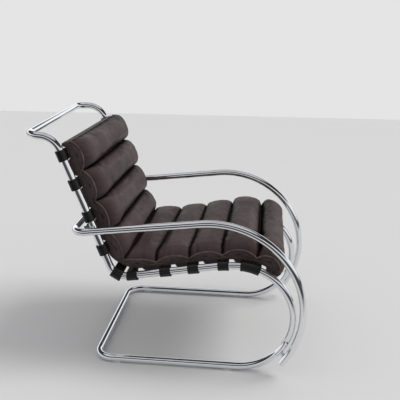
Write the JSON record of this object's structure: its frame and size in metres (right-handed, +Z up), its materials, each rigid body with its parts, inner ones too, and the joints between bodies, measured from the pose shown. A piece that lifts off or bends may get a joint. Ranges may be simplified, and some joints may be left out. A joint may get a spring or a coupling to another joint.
{
  "type": "cantilever lounge armchair",
  "caption": "Cantilever lounge armchair with a bright bent-tube frame, wrapped dark leather straps, and a dark brown leather cushion of stuffed cross rolls.",
  "frame": {"origin": "bottom centre of the chair's bounding box, on the floor", "axes": "+Z up, +Y towards the rear, front faces -Y, +X towards the sitter's left"},
  "size_m": [0.6518, 0.9589, 0.8515],
  "materials": {
    "polished_tube": "mirror polished",
    "bare_steel": "plain turned steel, hidden in the tubes",
    "dark_screw": "blackened",
    "strap_stud": "dull nickel",
    "clear_nylon": "milky and smooth",
    "strap_leather": "smooth and glossy",
    "cushion_leather": "soft, creased, satin"
  },
  "bodies": {
    "root": {"base_frame": "polished_tube", "seat_frame": "polished_tube", "arm_hoop": "polished_tube", "left_joint_sleeve": "bare_steel", "right_joint_sleeve": "bare_steel", "joint_grub_screws": "dark_screw", "arm_front_bushes": "polished_tube", "arm_front_studs": "bare_steel", "arm_end_plugs": "polished_tube", "left_arm_bracket": "polished_tube", "right_arm_bracket": "polished_tube", "arm_bracket_screws": "dark_screw", "front_left_glide": "clear_nylon", "front_right_glide": "clear_nylon", "rear_left_glide": "clear_nylon", "rear_right_glide": "clear_nylon", "back_strap_1": "strap_leather", "back_strap_2": "strap_leather", "back_strap_3": "strap_leather", "back_strap_4": "strap_leather", "corner_strap": "strap_leather", "seat_strap_1": "strap_leather", "seat_strap_2": "strap_leather", "seat_strap_3": "strap_leather", "seat_strap_4": "strap_leather", "seat_strap_5": "strap_leather", "back_strap_studs": "strap_stud", "seat_strap_studs": "strap_stud", "cushion_pad": "cushion_leather", "back_roll_1": "cushion_leather", "back_roll_2": "cushion_leather", "back_roll_3": "cushion_leather", "back_roll_4": "cushion_leather", "seat_roll_1": "cushion_leather", "seat_roll_2": "cushion_leather", "seat_roll_3": "cushion_leather", "seat_roll_4": "cushion_leather", "seat_roll_5": "cushion_leather"}
  },
  "joints": []
}
